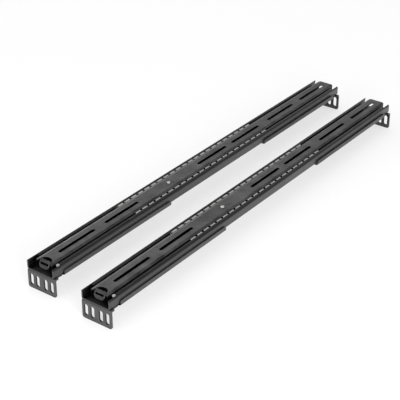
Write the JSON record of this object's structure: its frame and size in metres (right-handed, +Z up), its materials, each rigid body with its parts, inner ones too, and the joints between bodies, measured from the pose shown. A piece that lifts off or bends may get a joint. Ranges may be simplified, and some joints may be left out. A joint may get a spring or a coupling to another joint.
{
  "type": "rack mounting rails, pair",
  "caption": "Pair of ball-bearing slide rails for rack equipment, each with slotted end flanges, a depth-adjustable rear bracket and a sliding inner member.",
  "frame": {"origin": "middle of the pair's footprint, level with the feet of the end flanges", "axes": "+X along the rails from the front post to the rear post, +Y from the near rail to the far rail, +Z up, out of the open side of the rails"},
  "size_m": [0.642, 0.137, 0.0402],
  "materials": {
    "black_coat": "satin black powder coat on steel sheet",
    "zinc": "bright zinc plate on steel",
    "ball_steel": "polished steel"
  },
  "bodies": {
    "rails": {"outer_member_a": "black_coat", "front_bracket_a": "black_coat", "front_rivets_a": "black_coat", "clamp_screws_a": "black_coat", "clamp_nuts_a": "black_coat", "stop_stud_a": "ball_steel", "outer_member_b": "black_coat", "front_bracket_b": "black_coat", "front_rivets_b": "black_coat", "clamp_screws_b": "black_coat", "clamp_nuts_b": "black_coat", "stop_stud_b": "ball_steel"},
    "rear_bracket_a": {"rear_bracket_a": "black_coat"},
    "inner_a": {"inner_member_a": "black_coat", "lever_pin_a": "zinc", "centre_screw_a": "ball_steel"},
    "cages_a": {"ball_cage_far_a": "zinc", "ball_cage_near_a": "zinc", "balls_a": "ball_steel"},
    "lever_a": {"release_lever_a": "black_coat"},
    "rear_bracket_b": {"rear_bracket_b": "black_coat"},
    "inner_b": {"inner_member_b": "black_coat", "lever_pin_b": "zinc", "centre_screw_b": "ball_steel"},
    "cages_b": {"ball_cage_far_b": "zinc", "ball_cage_near_b": "zinc", "balls_b": "ball_steel"},
    "lever_b": {"release_lever_b": "black_coat"}
  },
  "joints": [
    {"name": "depth_slide_a", "type": "slide", "parent": "rails", "child": "rear_bracket_a", "axis": [1, 0, 0], "range_m": [0, 0.125]},
    {"name": "chassis_slide_a", "type": "slide", "parent": "rails", "child": "inner_a", "axis": [-1, 0, 0], "range_m": [0, 0.276]},
    {"name": "cage_slide_a", "type": "slide", "parent": "rails", "child": "cages_a", "axis": [-1, 0, 0], "range_m": [0, 0.138]},
    {"name": "lever_press_a", "type": "hinge", "parent": "inner_a", "child": "lever_a", "pos_m": [-0.286, 0.0475, 0.0342], "axis": [0, -1, 0], "range_deg": [0, 6], "stiffness_Nm_per_rad": 0.5},
    {"name": "depth_slide_b", "type": "slide", "parent": "rails", "child": "rear_bracket_b", "axis": [1, 0, 0], "range_m": [0, 0.125]},
    {"name": "chassis_slide_b", "type": "slide", "parent": "rails", "child": "inner_b", "axis": [-1, 0, 0], "range_m": [0, 0.276]},
    {"name": "cage_slide_b", "type": "slide", "parent": "rails", "child": "cages_b", "axis": [-1, 0, 0], "range_m": [0, 0.138]},
    {"name": "lever_press_b", "type": "hinge", "parent": "inner_b", "child": "lever_b", "pos_m": [-0.295, -0.0455, 0.0342], "axis": [0, -1, 0], "range_deg": [0, 6], "stiffness_Nm_per_rad": 0.5}
  ],
  "couplings": [
    {"joint": "cage_slide_a", "follows": "chassis_slide_a", "ratio": 0.5},
    {"joint": "cage_slide_b", "follows": "chassis_slide_b", "ratio": 0.5}
  ]
}
